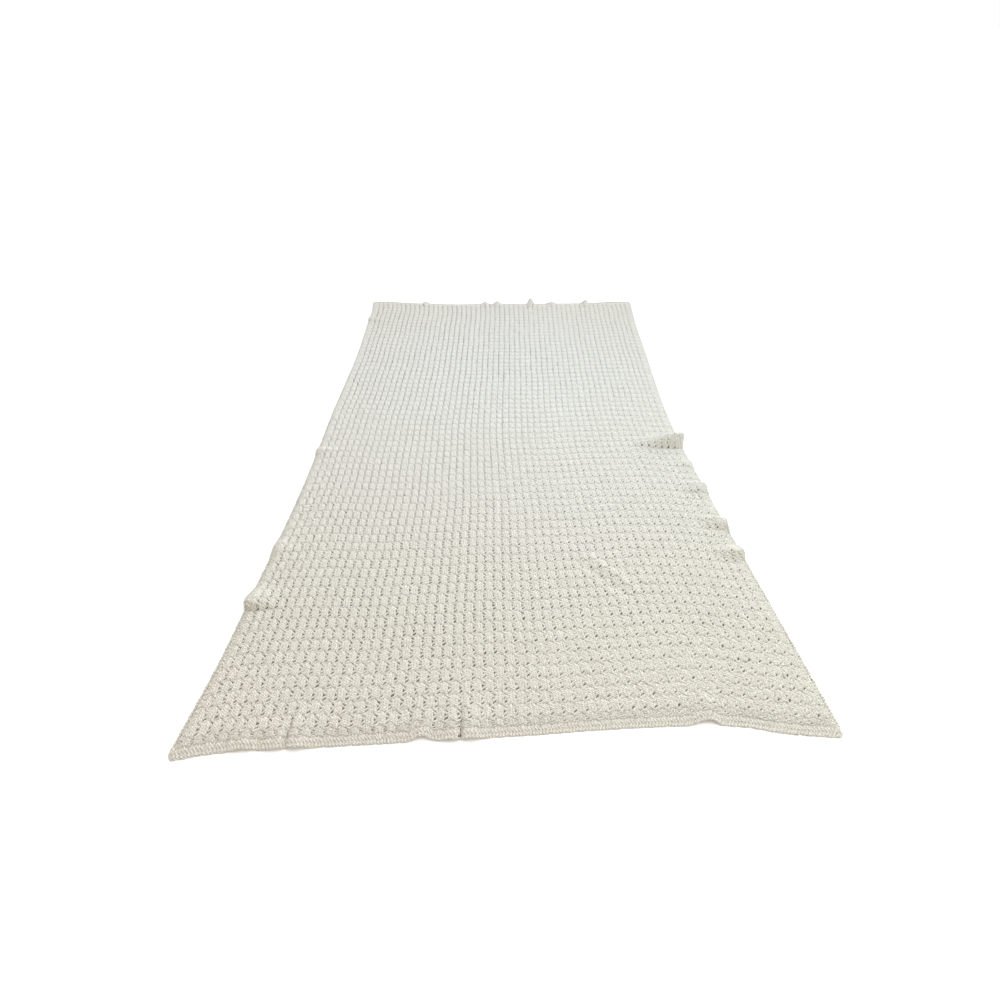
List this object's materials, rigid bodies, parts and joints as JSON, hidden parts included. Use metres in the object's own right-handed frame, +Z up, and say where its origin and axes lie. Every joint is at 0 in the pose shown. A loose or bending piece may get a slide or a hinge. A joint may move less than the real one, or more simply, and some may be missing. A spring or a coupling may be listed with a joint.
{
  "type": "crochet throw blanket",
  "caption": "Cream crochet throw lying spread out flat, a field of stacked shell stitches with a plain crocheted edging and small ripples along its edges.",
  "frame": {"origin": "on the floor under the middle of the throw's box", "axes": "+X across the throw, +Y along it to its far end, +Z up from the floor"},
  "size_m": [1.2659, 1.86, 0.0425],
  "materials": {
    "cream_yarn": "soft matt crocheted yarn"
  },
  "bodies": {
    "root": {"crochet_throw": "cream_yarn"}
  },
  "joints": []
}
